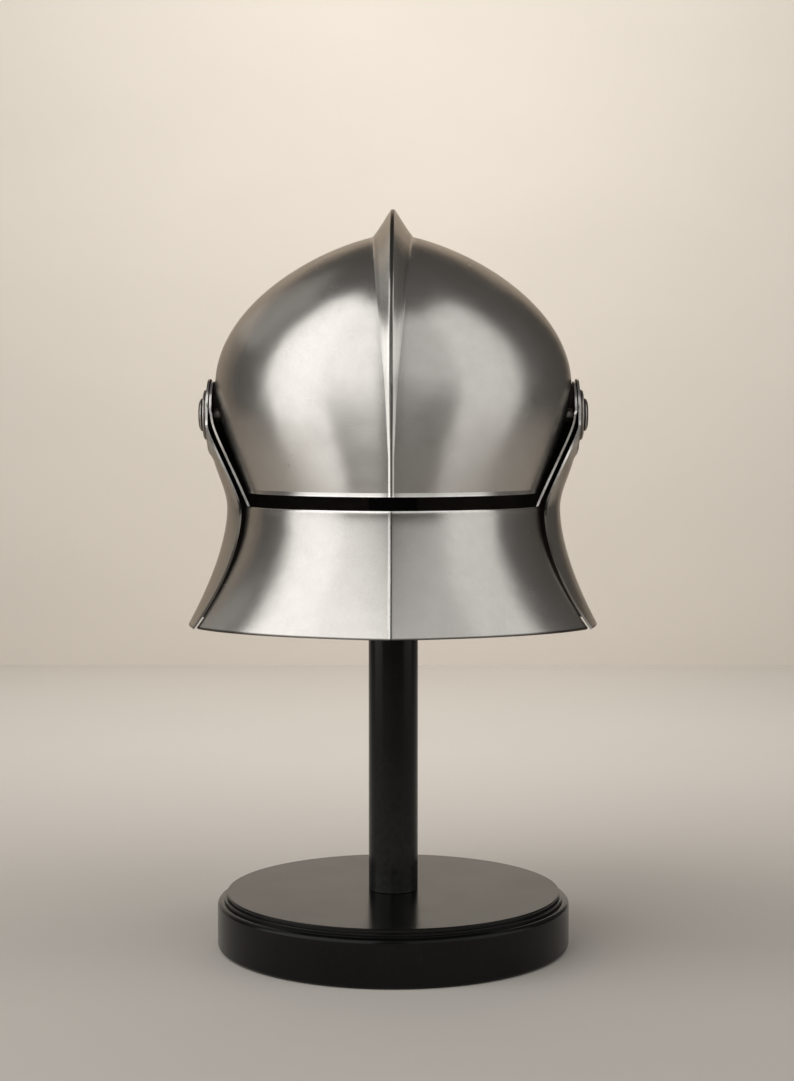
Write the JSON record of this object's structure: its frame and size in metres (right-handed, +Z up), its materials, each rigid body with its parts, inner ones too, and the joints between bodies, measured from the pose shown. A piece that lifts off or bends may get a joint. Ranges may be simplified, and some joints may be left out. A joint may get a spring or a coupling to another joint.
{
  "type": "sallet helmet on a display stand",
  "caption": "Steel sallet with a tall median comb, a hinged half visor under an eye slit and a flared neck guard, held on a round post and stepped black base",
  "frame": {"origin": "centre of the base's underside, on the surface it stands on", "axes": "+Z up, the face and eye slit look along -Y, the pivot axis runs along X"},
  "size_m": [0.258, 0.3429, 0.474],
  "materials": {
    "polished_steel": "satin polished, brighter along its edges, blackened inside",
    "dark_steel": "dark oiled steel with worn bright rims",
    "black_lacquer": "satin black lacquer on turned wood",
    "rest_pad": "matt black"
  },
  "bodies": {
    "skull_and_stand": {"skull": "polished_steel", "neck_guard": "polished_steel", "pivot_washer_left": "dark_steel", "pivot_washer_right": "dark_steel", "pivot_rosette_left": "dark_steel", "pivot_rosette_right": "dark_steel", "pivot_bolt_left": "dark_steel", "pivot_bolt_right": "dark_steel", "nape_rivet_1": "polished_steel", "nape_rivet_2": "polished_steel", "nape_rivet_3": "polished_steel", "nape_rivet_4": "polished_steel", "stand_base": "black_lacquer", "stand_post": "black_lacquer", "crown_rest": "rest_pad"},
    "visor": {"visor": "polished_steel"}
  },
  "joints": [
    {"name": "visor_hinge", "type": "hinge", "parent": "skull_and_stand", "child": "visor", "pos_m": [0, 0, 0.3435], "axis": [-1, 0, 0], "range_deg": [0, 45]}
  ]
}
